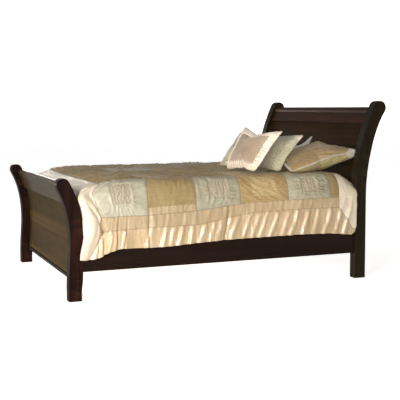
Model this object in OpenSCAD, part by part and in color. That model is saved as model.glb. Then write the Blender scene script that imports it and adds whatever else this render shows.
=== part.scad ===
// Queen-size sleigh bed with its bedding, in millimetres.
// The origin is on the floor, in the middle of the bed. +Y points to the head, +X to the right
// of a person who stands at the foot and looks at the head, and +Z up.

/* [Bed] */
// Width over the posts
bed_w = 1676; // [1660:2:1740]
// Clear length between the foot posts and the head posts
inner_l = 2064; // [2060:2:2100]
// Width of a post, across the bed
post_t = 70; // [64:1:76]
// Depth of a head post's leg, along the bed
head_leg_d = 88; // [84:1:92]

/* [Headboard] */
// Height of the middle of the head scroll
head_scroll_z = 1263; // [1220:1:1300]
// Radius of the head scroll
head_scroll_r = 51; // [48:1:54]
// How far the head scroll leans back from the front of the leg
head_scroll_y = 190; // [170:1:210]
// Height of the joint between the head panel and its top rail
head_joint_z = 1147; // [1100:1:1160]

/* [Footboard] */
// Height of the middle of the foot scroll
foot_scroll_z = 768; // [750:1:790]
// Radius of the foot scroll
foot_scroll_r = 43; // [40:1:46]
// How far the foot scroll leans out in front of the leg
foot_scroll_y = 28; // [20:1:36]
// Height of the joint between the foot panel and its top rail
foot_joint_z = 622; // [600:1:640]
// Height of the underside of the footboard
foot_under_z = 115; // [105:1:125]

/* [Side rails] */
// Height of the underside of a side rail
rail_z = 193; // [180:1:200]
// Height of a side rail's board
rail_h = 230; // [220:1:240]
// Thickness of a side rail's board
rail_t = 27; // [25:1:30]
// Setback of a side rail from the outer face of the posts
rail_setback = 15; // [12:1:18]

/* [Slats] */
// Number of slats
slat_count = 12; // [12:1:12]
// Width of a slat, along the bed
slat_w = 70; // [60:1:90]
// Thickness of a slat
slat_t = 19; // [17:1:21]
// Height of the top of the slats
slat_top_z = 300; // [296:1:304]

/* [Bedding] */
// Width of the mattress
mattress_w = 1524; // [1500:2:1530]
// Length of the mattress
mattress_l = 2032; // [2000:2:2034]
// Thickness of the mattress
mattress_h = 265; // [240:1:270]
// Height of the box spring
box_h = 210; // [190:1:212]
// Thickness of the comforter
quilt_t = 20; // [16:1:22]
// Height of the comforter's hem above the floor
quilt_hem_z = 335; // [320:1:380]

/* [Hidden] */

function slat_name(i) = str("slat_", i < 10 ? "0" : "", i);

$fn = 48;
curve_steps = 14;
gap = 0.3;              // clearance between pieces that only rest on each other
fit_gap = 0.05;         // radial clearance round a screw or a dowel
cut = 1;                // how far a cutting shape stands past the face it cuts
reach = 400;            // more than the depth of any post, for shapes that trim one

// Lengthwise stations: the front faces of the legs, and the face of a foot post that the rails meet
foot_leg_d = 86;
foot_face_d = 96;
bed_l = foot_scroll_y + foot_scroll_r + foot_face_d + inner_l + head_scroll_y + head_scroll_r;
foot_y = foot_scroll_y + foot_scroll_r - bed_l / 2;
rail_y0 = foot_y + foot_face_d;
head_y = rail_y0 + inner_l;

// Crosswise stations
post_x = bed_w / 2 - post_t;
rail_x1 = bed_w / 2 - rail_setback;
rail_x0 = rail_x1 - rail_t;

glide_h = 4;
glide_r = 17;
nail_r = 3;
nail_l = 20;
wood = "#3b2119";
wood_light = "#4c3026";
pine = "#c9a878";
steel = "#8a8c8e";
ticking = "#e6e1d6";
satin = "#e2c99d";
sage = "#a9a98c";
champagne = "#bfa88c";

// ---- outlines of the posts, with +X as the bed's length and +Y as its height ----

function bezier(a, b, c, d) = [for (i = [0:curve_steps - 1]) let (t = i / curve_steps, s = 1 - t)
    s * s * s * a + 3 * s * s * t * b + 3 * s * t * t * c + t * t * t * d];
function arc(c, r, from, to) = [for (i = [0:curve_steps - 1])
    let (a = from + (to - from) * i / curve_steps) c + r * [cos(a), sin(a)]];
function on_circle(c, r, a) = c + r * [cos(a), sin(a)];
function tangent(a) = [-sin(a), cos(a)];

// Foot post: the leg rises straight, bows in a little, and rolls out over the foot in a scroll
foot_scroll = [-foot_scroll_y, foot_scroll_z];
foot_in_a = 30;         // where the bed-side edge meets the scroll
foot_out_a = 208;       // where the outer edge leaves the scroll
foot_in = on_circle(foot_scroll, foot_scroll_r, foot_in_a);
foot_out = on_circle(foot_scroll, foot_scroll_r, foot_out_a);
foot_bow = 14;          // how far the outer edge bows towards the bed
foot_outline = concat(
    [[foot_leg_d, 0]],
    bezier([foot_leg_d, 40], [foot_leg_d, 100], [foot_face_d, 120], [foot_face_d, 180]),
    bezier([foot_face_d, 440], [foot_face_d, 600], foot_in - 110 * tangent(foot_in_a), foot_in),
    arc(foot_scroll, foot_scroll_r, foot_in_a, foot_out_a),
    bezier(foot_out, foot_out + 110 * tangent(foot_out_a), [foot_bow, 545], [foot_bow, 385]),
    bezier([foot_bow, 385], [foot_bow, 300], [2, 200], [0, 94]),
    [[0, 94], [0, 0]]);

// Head post: a straight leg that sweeps back above the mattress into a larger scroll
head_scroll = [head_scroll_y, head_scroll_z];
head_front_a = 155;     // where the front edge meets the scroll
head_rear_a = -35;      // where the rear edge leaves the scroll
head_in = on_circle(head_scroll, head_scroll_r, head_front_a);
head_out = on_circle(head_scroll, head_scroll_r, head_rear_a);
head_waist = 84;        // depth of the post just below the sweep
head_outline = concat(
    [[0, 0]],
    bezier([0, 730], [0, 920], head_in + 150 * tangent(head_front_a), head_in),
    arc(head_scroll, head_scroll_r, head_front_a, head_rear_a),
    bezier(head_out, head_out - 130 * tangent(head_rear_a), [head_waist, 870], [head_waist, 640]),
    [[head_waist, 640], [head_leg_d, 0]]);

// A board that follows an outline's front edge: its front lies setback behind that edge
module curved_board(outline, setback, thick, low, high) {
    intersection() {
        difference() {
            translate([setback, 0]) polygon(outline);
            translate([setback + thick, 0]) polygon(outline);
        }
        translate([-reach, low]) square([2 * reach, high - low]);
    }
}

// Extrudes a length-and-height outline across the bed, from x0 to x1
module across(x0, x1) {
    translate([x0, 0, 0]) rotate([90, 0, 90]) linear_extrude(x1 - x0) children();
}

// ---- fasteners ----

screw_r = 2;
screw_head_r = 4;
screw_head_h = 2.5;

// A flat-headed screw with its head's face at the origin, driven along +Z.
// grow widens it into its hole.
module screw(length, grow = 0) {
    cylinder(r = screw_r + grow, h = length + grow);
    cylinder(r = screw_head_r + grow, h = screw_head_h + grow);
}

// ---- hook plates on the rails and slotted plates in the posts ----

plate_z = rail_z + 50;  // underside of a plate
plate_h = 130;
plate_t = 2.5;
hook_plate_l = 80;
hook_zs = [20, 88];     // heights of the hooks above the plate's underside
hook_h = 14;
hook_l = 14;
hook_lip = 8;
slot_plate_t = 3;
slot_plate_w = 24;
slot_w = plate_t + 2 * gap;
slot_h = 30;
slot_x = rail_x0 - plate_t / 2;
pocket_d = 18;
slot_below = 12;        // how far a slot reaches below its hook
hook_screws = [[24, 12], [64, 12], [24, 118], [64, 118]];
hook_screw_l = 22;
slot_screw_zs = [10, 120];
slot_screw_l = 28;

// Places children at a rail's end. Their local Y points out of the rail's end into the post.
module at_corner(right, head) {
    mirror([right ? 0 : 1, 0, 0])
        translate([0, head ? head_y : rail_y0, plate_z]) mirror([0, head ? 0 : 1, 0]) children();
}

module at_corners() {
    for (right = [false, true])
        for (head = [false, true])
            at_corner(right, head) children();
}

module hook_plate(right, head) {
    color(steel) at_corner(right, head) difference() {
        union() {
            translate([rail_x0 - plate_t, -hook_plate_l, 0]) cube([plate_t, hook_plate_l, plate_h]);
            for (z = hook_zs) {
                translate([rail_x0 - plate_t, 0, z]) cube([plate_t, hook_l, hook_h]);
                translate([rail_x0 - plate_t, slot_plate_t + 1, z - hook_lip])
                    cube([plate_t, hook_l - slot_plate_t - 1, hook_lip]);
            }
        }
        hook_plate_screws(fit_gap);
    }
}

module hook_plate_screws(grow = 0) {
    for (p = hook_screws)
        translate([rail_x0 - plate_t, -p[0], p[1]]) rotate([0, 90, 0]) screw(hook_screw_l, grow);
}

module slot_plate(right, head) {
    color(steel) at_corner(right, head) difference() {
        translate([slot_x - slot_plate_w / 2, 0, 0]) cube([slot_plate_w, slot_plate_t, plate_h]);
        for (z = hook_zs)
            translate([slot_x - slot_w / 2, -cut, z - slot_below])
                cube([slot_w, slot_plate_t + 2 * cut, slot_h]);
        slot_plate_screws(fit_gap);
    }
}

module slot_plate_screws(grow = 0) {
    for (z = slot_screw_zs) translate([slot_x, 0, z]) rotate([-90, 0, 0]) screw(slot_screw_l, grow);
}

// The recess for a slotted plate, the pockets behind its slots and its screw holes
module slot_plate_seat() {
    translate([slot_x - slot_plate_w / 2, -cut, 0]) cube([slot_plate_w, slot_plate_t + cut, plate_h]);
    for (z = hook_zs)
        translate([slot_x - slot_w / 2, 0, z - slot_below]) cube([slot_w, pocket_d, slot_h]);
    slot_plate_screws(fit_gap);
}

module plate_screws() {
    color(steel) at_corners() {
        hook_plate_screws();
        slot_plate_screws();
    }
}

// ---- headboard ----

dowel_r = 5;
dowel_l = 60;
head_dowels = [[head_y + 45, 230], [head_y + 45, 305], [head_y + 148, 1185], [head_y + 172, 1235]];
foot_dowels = [[foot_y + 72, 127], [foot_y + 58, 645], [foot_y + 12, 730]];

// Dowels through the inner faces of both posts, half in the post and half in the rail
module dowels(places, grow = 0) {
    for (side = [-1, 1])
        for (p = places)
            translate([side * post_x - dowel_l / 2, p[0], p[1]]) rotate([0, 90, 0])
                cylinder(r = dowel_r + grow, h = dowel_l);
}

module nail_hole(y) {
    translate([bed_w / 2 - post_t / 2, y, -cut]) cylinder(r = nail_r + fit_gap, h = nail_l + cut);
}

module post(right, head) {
    mirror([right ? 0 : 1, 0, 0]) difference() {
        translate([0, head ? head_y : foot_y, 0]) across(post_x, bed_w / 2)
            intersection() {
                polygon(head ? head_outline : foot_outline);
                translate([-reach, glide_h]) square([2 * reach, head_scroll_z + reach]);
            }
        dowels(head ? head_dowels : foot_dowels, fit_gap);
        at_corner(true, head) slot_plate_seat();
        nail_hole(leg_mid_y(head));
    }
}

function leg_mid_y(head) = head ? head_y + head_leg_d / 2 : foot_y + foot_leg_d / 2;

module headboard_post(right) {
    color(wood) post(right, true);
}

head_roll = [172, 1238];    // middle of the rolled top edge, from the front of the leg
head_roll_r = 31;
head_rail_setback = 22;
head_rail_t = 46;
head_panel_setback = 34;
head_panel_t = 22;
head_low_setback = 28;
head_low_t = 34;
head_under_z = 205;
head_low_joint_z = 330;

module headboard_top_rail() {
    color(wood_light) difference() {
        translate([0, head_y, 0]) across(-post_x, post_x) {
            curved_board(head_outline, head_rail_setback, head_rail_t, head_joint_z, head_roll[1]);
            translate(head_roll) circle(r = head_roll_r);
        }
        dowels(head_dowels, fit_gap);
    }
}

module headboard_panel() {
    color(wood) translate([0, head_y, 0]) across(-post_x, post_x)
        curved_board(head_outline, head_panel_setback, head_panel_t, head_low_joint_z, head_joint_z);
}

module headboard_bottom_rail() {
    color(wood) difference() {
        translate([-post_x, head_y + head_low_setback, head_under_z])
            cube([2 * post_x, head_low_t, head_low_joint_z - head_under_z]);
        dowels(head_dowels, fit_gap);
        at_head_bracket() bracket_screw_row(fit_gap);
    }
}

// ---- footboard ----

foot_roll = [8, 751];   // middle of the rolled top edge, from the front of the leg
foot_roll_r = 21;
foot_rail_setback = 48;
foot_rail_t = 36;
foot_panel_setback = 62;
foot_panel_t = 18;
foot_bead_h = 25;
foot_bead_setback = 48;
foot_bead_w = 40;
cross_rail_face = 108;  // bed-side face of the cross rail, from the front of the leg
cross_rail_z = 190;
cross_rail_h = 100;
cross_rail_screws = 6;
cross_rail_screw_l = 34;

module footboard_post(right) {
    color(wood) post(right, false);
}

module footboard_top_rail() {
    color(wood_light) difference() {
        translate([0, foot_y, 0]) across(-post_x, post_x) {
            curved_board(foot_outline, foot_rail_setback, foot_rail_t, foot_joint_z, foot_roll[1]);
            translate(foot_roll) circle(r = foot_roll_r);
        }
        dowels(foot_dowels, fit_gap);
    }
}

module footboard_panel() {
    color(wood) difference() {
        translate([0, foot_y, 0]) across(-post_x, post_x)
            curved_board(foot_outline, foot_panel_setback, foot_panel_t,
                foot_under_z + foot_bead_h, foot_joint_z);
        cross_rail_screw_row(fit_gap);
    }
}

// The strip along the foot of the panel, with a half-round nose
module footboard_bottom_rail() {
    nose = foot_bead_h / 2;
    color(wood) difference() {
        translate([0, foot_y, 0]) across(-post_x, post_x) {
            translate([foot_bead_setback + nose, foot_under_z])
                square([foot_bead_w - nose, foot_bead_h]);
            translate([foot_bead_setback + nose, foot_under_z + nose]) circle(r = nose);
        }
        dowels(foot_dowels, fit_gap);
    }
}

// The board on the bed side of the foot panel, shaped to its back, that carries the centre beam
module footboard_cross_rail() {
    color(wood) difference() {
        translate([0, foot_y, 0]) across(-post_x, post_x) intersection() {
            translate([foot_panel_setback + foot_panel_t + gap, 0]) polygon(foot_outline);
            translate([0, cross_rail_z]) square([cross_rail_face, cross_rail_h]);
        }
        cross_rail_screw_row(fit_gap);
        at_foot_bracket() bracket_screw_row(fit_gap);
    }
}

module cross_rail_screw_row(grow = 0) {
    for (i = [0:cross_rail_screws - 1])
        translate([-post_x + post_x * (2 * i + 1) / cross_rail_screws, foot_y + cross_rail_face,
                   cross_rail_z + cross_rail_h / 2])
            rotate([90, 0, 0]) screw(cross_rail_screw_l, grow);
}

module panel_screws() {
    color(steel) cross_rail_screw_row();
}

// ---- side rails, cleats and slats ----

cleat_w = 28;
cleat_h = 45;
cleat_top_z = slat_top_z - slat_t;
cleat_end = 84;         // space left at each end of a cleat for the hook plates
cleat_screw_count = 7;
cleat_screw_end = 124;  // from a rail's end to its first cleat screw
cleat_screw_down = 28;  // from the cleat's top to its screws
cleat_screw_l = 46;
slat_screw_l = 38;
slat_side_gap = 3;
slat_end = 70;          // from a rail's end to the first slat
slat_l = 2 * (rail_x0 - slat_side_gap);
slat_pitch = (inner_l - 2 * slat_end - slat_w) / (slat_count - 1);
slat_screw_x = rail_x0 - cleat_w / 2;

function slat_mid_y(i) = rail_y0 + slat_end + slat_w / 2 + (i - 1) * slat_pitch;
function cleat_screw_y(k) = rail_y0 + cleat_screw_end
    + k * (inner_l - 2 * cleat_screw_end) / (cleat_screw_count - 1);

module cleat_screw_row(right, grow = 0) {
    mirror([right ? 0 : 1, 0, 0])
        for (k = [0:cleat_screw_count - 1])
            translate([rail_x0 - cleat_w, cleat_screw_y(k), cleat_top_z - cleat_screw_down])
                rotate([0, 90, 0]) screw(cleat_screw_l, grow);
}

module slat_screw_pair(i, grow = 0) {
    for (side = [-1, 1])
        translate([side * slat_screw_x, slat_mid_y(i), slat_top_z]) mirror([0, 0, 1])
            screw(slat_screw_l, grow);
}

module side_rail(right) {
    color(wood) difference() {
        mirror([right ? 0 : 1, 0, 0]) difference() {
            translate([rail_x0, rail_y0, rail_z]) cube([rail_t, inner_l, rail_h]);
            for (head = [false, true])
                at_corner(true, head) hook_plate_screws(fit_gap);
        }
        cleat_screw_row(right, fit_gap);
    }
}

module cleat(right) {
    color(pine) difference() {
        mirror([right ? 0 : 1, 0, 0])
            translate([rail_x0 - cleat_w, rail_y0 + cleat_end, cleat_top_z - cleat_h])
                cube([cleat_w, inner_l - 2 * cleat_end, cleat_h]);
        cleat_screw_row(right, fit_gap);
        for (i = [1:slat_count]) slat_screw_pair(i, fit_gap);
    }
}

module cleat_screws() {
    color(steel) {
        cleat_screw_row(false);
        cleat_screw_row(true);
    }
}

module slat(i) {
    color(pine) difference() {
        translate([-slat_l / 2, slat_mid_y(i) - slat_w / 2, slat_top_z - slat_t])
            cube([slat_l, slat_w, slat_t]);
        slat_screw_pair(i, fit_gap);
    }
}

module slat_screws() {
    color(steel) for (i = [1:slat_count]) slat_screw_pair(i);
}

// ---- centre beam, hung in a steel saddle at each end ----

beam_w = 44;
beam_h = 70;
beam_z = cleat_top_z - beam_h;
saddle_t = 3;
saddle_ear = 26;
saddle_l = 45;
beam_end_gap = saddle_t + 1;
beam_y0 = foot_y + cross_rail_face + beam_end_gap;
beam_y1 = head_y + head_low_setback - beam_end_gap;
saddle_screw_x = beam_w / 2 + 15.6;
saddle_screw_zs = [18, 46];
saddle_screw_l = 16;

module centre_beam() {
    color(pine) translate([-beam_w / 2, beam_y0, beam_z]) cube([beam_w, beam_y1 - beam_y0, beam_h]);
}

// A saddle whose ears are screwed to the board at y = 0, with the beam on its +Y side
module saddle() {
    difference() {
        translate([-beam_w / 2 - saddle_ear, 0, beam_z - saddle_t])
            cube([beam_w + 2 * saddle_ear, saddle_t, beam_h]);
        bracket_screw_row(fit_gap);
    }
    for (side = [-1, 1])
        translate([side * (beam_w / 2 + gap + saddle_t / 2) - saddle_t / 2, 0, beam_z - saddle_t])
            cube([saddle_t, saddle_l, beam_h]);
    translate([-beam_w / 2 - gap - saddle_t, 0, beam_z - saddle_t])
        cube([beam_w + 2 * (gap + saddle_t), saddle_l, saddle_t]);
}

// The ears' screws, driven towards -Y with their heads flush with the ears
module bracket_screw_row(grow = 0) {
    for (side = [-1, 1])
        for (z = saddle_screw_zs)
            translate([side * saddle_screw_x, saddle_t, beam_z + z]) rotate([90, 0, 0])
                screw(saddle_screw_l, grow);
}

// Place a saddle or its screws at the foot's cross rail and at the head's bottom rail
module at_foot_bracket() {
    translate([0, foot_y + cross_rail_face, 0]) children();
}

module at_head_bracket() {
    translate([0, head_y + head_low_setback, 0]) mirror([0, 1, 0]) children();
}

module beam_bracket(head) {
    color(steel)
        if (head)
            at_head_bracket() saddle();
        else
            at_foot_bracket() saddle();
}

module bracket_screws() {
    color(steel) {
        at_head_bracket() bracket_screw_row();
        at_foot_bracket() bracket_screw_row();
    }
}

// ---- floor glides: a pad with a nail under each leg ----

module glide(right, head) {
    color("#2a2624") mirror([right ? 0 : 1, 0, 0])
        translate([bed_w / 2 - post_t / 2, leg_mid_y(head), 0]) {
            cylinder(r = glide_r, h = glide_h);
            cylinder(r = nail_r, h = nail_l);
        }
}

// ---- bedding ----

box_z = slat_top_z + gap;
mattress_z = box_z + box_h + gap;
mattress_top_z = mattress_z + mattress_h;
bedding_y = rail_y0 + inner_l / 2;

// A rectangle in plan with rounded corners, centred on the bedding
module rounded_slab(w, l, h, r) {
    linear_extrude(h) {
        square([w - 2 * r, l], center = true);
        square([w, l - 2 * r], center = true);
        for (x = [-1, 1])
            for (y = [-1, 1])
                translate([x * (w / 2 - r), y * (l / 2 - r)]) circle(r = r);
    }
}

// A padded case round a sealed space, where the springs are
module padded_case(w, l, h, r, wall) {
    difference() {
        rounded_slab(w, l, h, r);
        translate([0, 0, wall]) rounded_slab(w - 2 * wall, l - 2 * wall, h - 2 * wall, r - wall);
    }
}

box_inset = 7;          // how far the box spring stands in from the mattress, all round
box_corner_r = 45;
box_wall = 12;
mattress_corner_r = 60;
mattress_wall = 22;

module box_spring() {
    color(ticking) translate([0, bedding_y, box_z])
        padded_case(mattress_w - 2 * box_inset, mattress_l - 2 * box_inset, box_h, box_corner_r, box_wall);
}

module mattress() {
    color(ticking) translate([0, bedding_y, mattress_z])
        padded_case(mattress_w, mattress_l, mattress_h, mattress_corner_r, mattress_wall);
}

// The comforter: a cross-section that lies on the mattress and hangs outside both side rails,
// and a flap that hangs down between the mattress and the footboard
quilt_under_z = mattress_top_z + gap;
quilt_shoulder_r = 34;  // rounding of the outer edge along the mattress
quilt_shoulder_a = 8;   // angle at which the rounding meets the hanging side
quilt_x = mattress_w / 2 + 2;
hem_x = rail_x1 + 16;
quilt_y0 = rail_y0 + 2;
quilt_y1 = head_y - 4;
flap_t = 12;
flap_z = 520;

// Half of the comforter's cross-section, with +X across the bed and +Y up
module quilt_half() {
    shoulder = [quilt_x + quilt_t - quilt_shoulder_r, quilt_under_z + quilt_t - quilt_shoulder_r];
    polygon(concat(
        [[0, quilt_under_z], [quilt_x, quilt_under_z], [hem_x, quilt_hem_z]],
        [[hem_x + quilt_t, quilt_hem_z]],
        arc(shoulder, quilt_shoulder_r, quilt_shoulder_a, 90),
        [[shoulder[0], quilt_under_z + quilt_t], [0, quilt_under_z + quilt_t]]));
}

module comforter() {
    color(satin) {
        translate([0, quilt_y1, 0]) rotate([90, 0, 0]) linear_extrude(quilt_y1 - quilt_y0) {
            quilt_half();
            mirror([1, 0]) quilt_half();
        }
        translate([-quilt_x, quilt_y0, flap_z])
            cube([2 * quilt_x, flap_t, quilt_under_z - flap_z + cut]);
    }
}

// A pillow that lies flat before it is placed: a thin seam all round, and a middle that is crowned
// by up above the seam and by down below it
seam_t = 14;
pillow_tiers = [[0.68, 0.64, 0.84], [0.4, 0.36, 1]];    // shares of the width, length and crown
module pillow(w, l, up, down) {
    hull() {
        translate([-w / 2, -l / 2, -seam_t / 2]) cube([w, l, seam_t]);
        for (tier = pillow_tiers)
            translate([-w * tier[0] / 2, -l * tier[1] / 2, -down * tier[2]])
                cube([w * tier[0], l * tier[1], (up + down) * tier[2]]);
    }
}

// Places a pillow at a point measured from the head post's front face and the comforter's top.
// lean is its slope from the flat, turn its heading and roll its tilt across the bed.
module place_pillow(x, y, z, lean, turn, roll = 0) {
    translate([x, head_y + y, quilt_under_z + quilt_t + z]) rotate([0, roll, turn]) rotate([lean, 0, 0])
        children();
}

module pillow_back() {
    color(champagne) place_pillow(-40, -108, 104, 50, 0) pillow(520, 250, 60, 45);
}

module pillow_side() {
    color(champagne) place_pillow(505, -232, 112, 14, 3, 5) pillow(490, 540, 66, 65);
}

module pillow_sham() {
    color(sage) place_pillow(312, -542, 140, 49, 14) pillow(740, 350, 80, 32);
}

module pillow_throw() {
    color(champagne) place_pillow(545, -722, 152, 56, 8) pillow(450, 350, 70, 45);
}

// ---- the parts ----

headboard_post(false);  // headboard_post_left
headboard_post(true);  // headboard_post_right
headboard_top_rail();
headboard_panel();
headboard_bottom_rail();
color(pine) dowels(head_dowels);  // headboard_dowels
footboard_post(false);  // footboard_post_left
footboard_post(true);  // footboard_post_right
footboard_top_rail();
footboard_panel();
footboard_bottom_rail();
footboard_cross_rail();
panel_screws();
color(pine) dowels(foot_dowels);  // footboard_dowels
side_rail(false);  // side_rail_left
side_rail(true);  // side_rail_right
cleat(false);  // cleat_left
cleat(true);  // cleat_right
cleat_screws();
hook_plate(false, false);  // hook_plate_foot_left
hook_plate(true, false);  // hook_plate_foot_right
hook_plate(false, true);  // hook_plate_head_left
hook_plate(true, true);  // hook_plate_head_right
slot_plate(false, false);  // slot_plate_foot_left
slot_plate(true, false);  // slot_plate_foot_right
slot_plate(false, true);  // slot_plate_head_left
slot_plate(true, true);  // slot_plate_head_right
plate_screws();
centre_beam();
beam_bracket(false);  // beam_bracket_foot
beam_bracket(true);  // beam_bracket_head
bracket_screws();
for (i = [1:slat_count]) slat(i);
slat_screws();
glide(false, false);  // glide_foot_left
glide(true, false);  // glide_foot_right
glide(false, true);  // glide_head_left
glide(true, true);  // glide_head_right
box_spring();
mattress();
comforter();
pillow_back();
pillow_side();
pillow_sham();
pillow_throw();
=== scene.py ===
"""The sleigh bed's looks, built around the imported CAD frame. Metres, in the row frame."""

import math

import bpy
import numpy as np
from mathutils import Euler, Matrix, Vector


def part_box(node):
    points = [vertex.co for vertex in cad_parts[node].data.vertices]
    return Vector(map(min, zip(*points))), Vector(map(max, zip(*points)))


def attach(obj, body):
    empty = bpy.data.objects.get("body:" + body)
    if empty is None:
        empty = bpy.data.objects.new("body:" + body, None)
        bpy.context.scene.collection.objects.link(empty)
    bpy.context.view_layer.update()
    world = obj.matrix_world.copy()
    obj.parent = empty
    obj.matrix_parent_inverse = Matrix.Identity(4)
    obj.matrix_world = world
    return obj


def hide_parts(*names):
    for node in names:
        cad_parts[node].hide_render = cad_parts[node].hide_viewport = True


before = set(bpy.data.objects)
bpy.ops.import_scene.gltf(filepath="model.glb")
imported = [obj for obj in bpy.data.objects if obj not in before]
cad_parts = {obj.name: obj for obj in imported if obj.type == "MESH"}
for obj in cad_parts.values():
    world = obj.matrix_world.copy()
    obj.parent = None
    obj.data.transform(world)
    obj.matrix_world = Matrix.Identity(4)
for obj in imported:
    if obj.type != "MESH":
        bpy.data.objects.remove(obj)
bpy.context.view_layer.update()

RAIL_LO, RAIL_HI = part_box("side_rail_right")
FOOT_Y, HEAD_Y = RAIL_LO.y, RAIL_HI.y       # the faces of the posts that the side rails meet
QUILT_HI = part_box("comforter")[1]
MAT_LO, MAT_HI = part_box("mattress")
BASE_LO, BASE_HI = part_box("box_spring")
SPAN = HEAD_Y - FOOT_Y


# ---------------------------------------------------------------- small helpers

def smooth(x, a, b):
    """0 below a, 1 above b, and a smooth step between."""
    t = np.clip((np.asarray(x, float) - a) / (b - a), 0, 1)
    return t * t * (3 - 2 * t)


def bell(x, middle, width):
    """1 in the middle, fading out on both sides."""
    return np.exp(-((np.asarray(x, float) - middle) / width) ** 2)


LATTICES = {}


def noise(x, y, seed):
    """Smooth gradient noise over two arrays, about -1 to 1."""
    if seed not in LATTICES:
        rng = np.random.RandomState(seed)
        turn = rng.rand(256) * 2 * math.pi
        LATTICES[seed] = rng.permutation(256), np.cos(turn), np.sin(turn)
    perm, gx, gy = LATTICES[seed]
    x, y = np.broadcast_arrays(np.asarray(x, float), np.asarray(y, float))
    xi, yi = np.floor(x).astype(int), np.floor(y).astype(int)
    xf, yf = x - xi, y - yi

    def corner(i, j):
        h = perm[(perm[(xi + i) & 255] + yi + j) & 255]
        return gx[h] * (xf - i) + gy[h] * (yf - j)

    u = xf ** 3 * (xf * (xf * 6 - 15) + 10)
    v = yf ** 3 * (yf * (yf * 6 - 15) + 10)
    low = corner(0, 0) * (1 - u) + corner(1, 0) * u
    high = corner(0, 1) * (1 - u) + corner(1, 1) * u
    return 1.5 * (low * (1 - v) + high * v)


def creases(x, y, angle, along, across, seed):
    """Soft ridges, -0.5 to 0.5, drawn out along an angle: cloth wrinkles."""
    ca, sa = math.cos(angle), math.sin(angle)
    p = (x * ca + y * sa) / along
    q = (-x * sa + y * ca) / across
    q = q + 0.6 * noise(p * 1.3, q * 0.4, seed + 1)
    return 0.5 - np.sqrt(np.abs(noise(p, q, seed)) + 0.01)


def new_object(name, verts, faces, materials, slots=None):
    mesh = bpy.data.meshes.new(name)
    mesh.from_pydata(np.asarray(verts).tolist(), [], faces)
    mesh.update()
    if slots is not None:
        mesh.polygons.foreach_set("material_index", np.asarray(slots, np.int32))
    mesh.polygons.foreach_set("use_smooth", [True] * len(mesh.polygons))
    obj = bpy.data.objects.new(name, mesh)
    bpy.context.scene.collection.objects.link(obj)
    for m in materials:
        mesh.materials.append(m)
    return obj


def read(items, field):
    """One property of every item, as rows of three numbers."""
    values = np.zeros(len(items) * 3)
    items.foreach_get(field, values)
    return values.reshape(-1, 3)


def flat_map(mesh, coords, seam=None):
    """Stores where each vertex lies on the flat cloth, in metres, for the weave, and how much painted
    shade a
    seam line puts on it: 1 on a seam and 0 away from it."""
    attribute = mesh.attributes.new("flat_cloth", "FLOAT_VECTOR", "POINT")
    attribute.data.foreach_set("vector", np.asarray(coords, np.float32).ravel())
    if seam is not None:
        attribute = mesh.attributes.new("seam", "FLOAT", "POINT")
        attribute.data.foreach_set("value", np.asarray(seam, np.float32).ravel())


def tube(name, points, radius, material, closed=True):
    """A round cord along a list of points."""
    sides = 8
    pts = np.asarray(points, float)
    n = len(pts)
    if closed:
        tangent = np.roll(pts, -1, 0) - np.roll(pts, 1, 0)
    else:
        tangent = np.gradient(pts, axis=0)
    tangent /= np.linalg.norm(tangent, axis=1)[:, None]
    up = np.array([0.0, 0.0, 1.0])
    side = np.cross(tangent, up)
    side /= np.linalg.norm(side, axis=1)[:, None] + 1e-9
    over = np.cross(side, tangent)
    turns = np.arange(sides) * 2 * math.pi / sides
    rings = [pts + radius * (math.cos(t) * side + math.sin(t) * over) for t in turns]
    verts = np.stack(rings, 1).reshape(-1, 3)
    faces = []
    for i in range(n if closed else n - 1):
        j = (i + 1) % n
        for k in range(sides):
            m = (k + 1) % sides
            faces.append((i * sides + k, i * sides + m, j * sides + m, j * sides + k))
    if not closed:
        faces.append(tuple(range(sides)))
        faces.append(tuple((n - 1) * sides + k for k in reversed(range(sides))))
    return new_object(name, verts, faces, [material])


# ---------------------------------------------------------------- materials

BLACK, WHITE = (0, 0, 0, 1), (1, 1, 1, 1)
THREADS = 900.0 / 6.3       # the scale of the wave textures that stand for threads
THREAD_DEPTH = 0.00006


def srgb(code):
    """A colour code such as "3b2119" as linear RGBA."""
    c = [int(code[i:i + 2], 16) / 255 for i in (0, 2, 4)]
    return [v / 12.92 if v <= 0.04045 else ((v + 0.055) / 1.055) ** 2.4 for v in c] + [1.0]


def times(colour, factor):
    """A colour made darker or lighter."""
    return [min(1.0, c * factor) for c in colour[:3]] + [1.0]


def grain(along, across, lengthwise):
    """A texture's scale on the three axes, with its figure drawn out along one of them."""
    return [lengthwise if axis == along else across for axis in range(3)]


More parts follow.
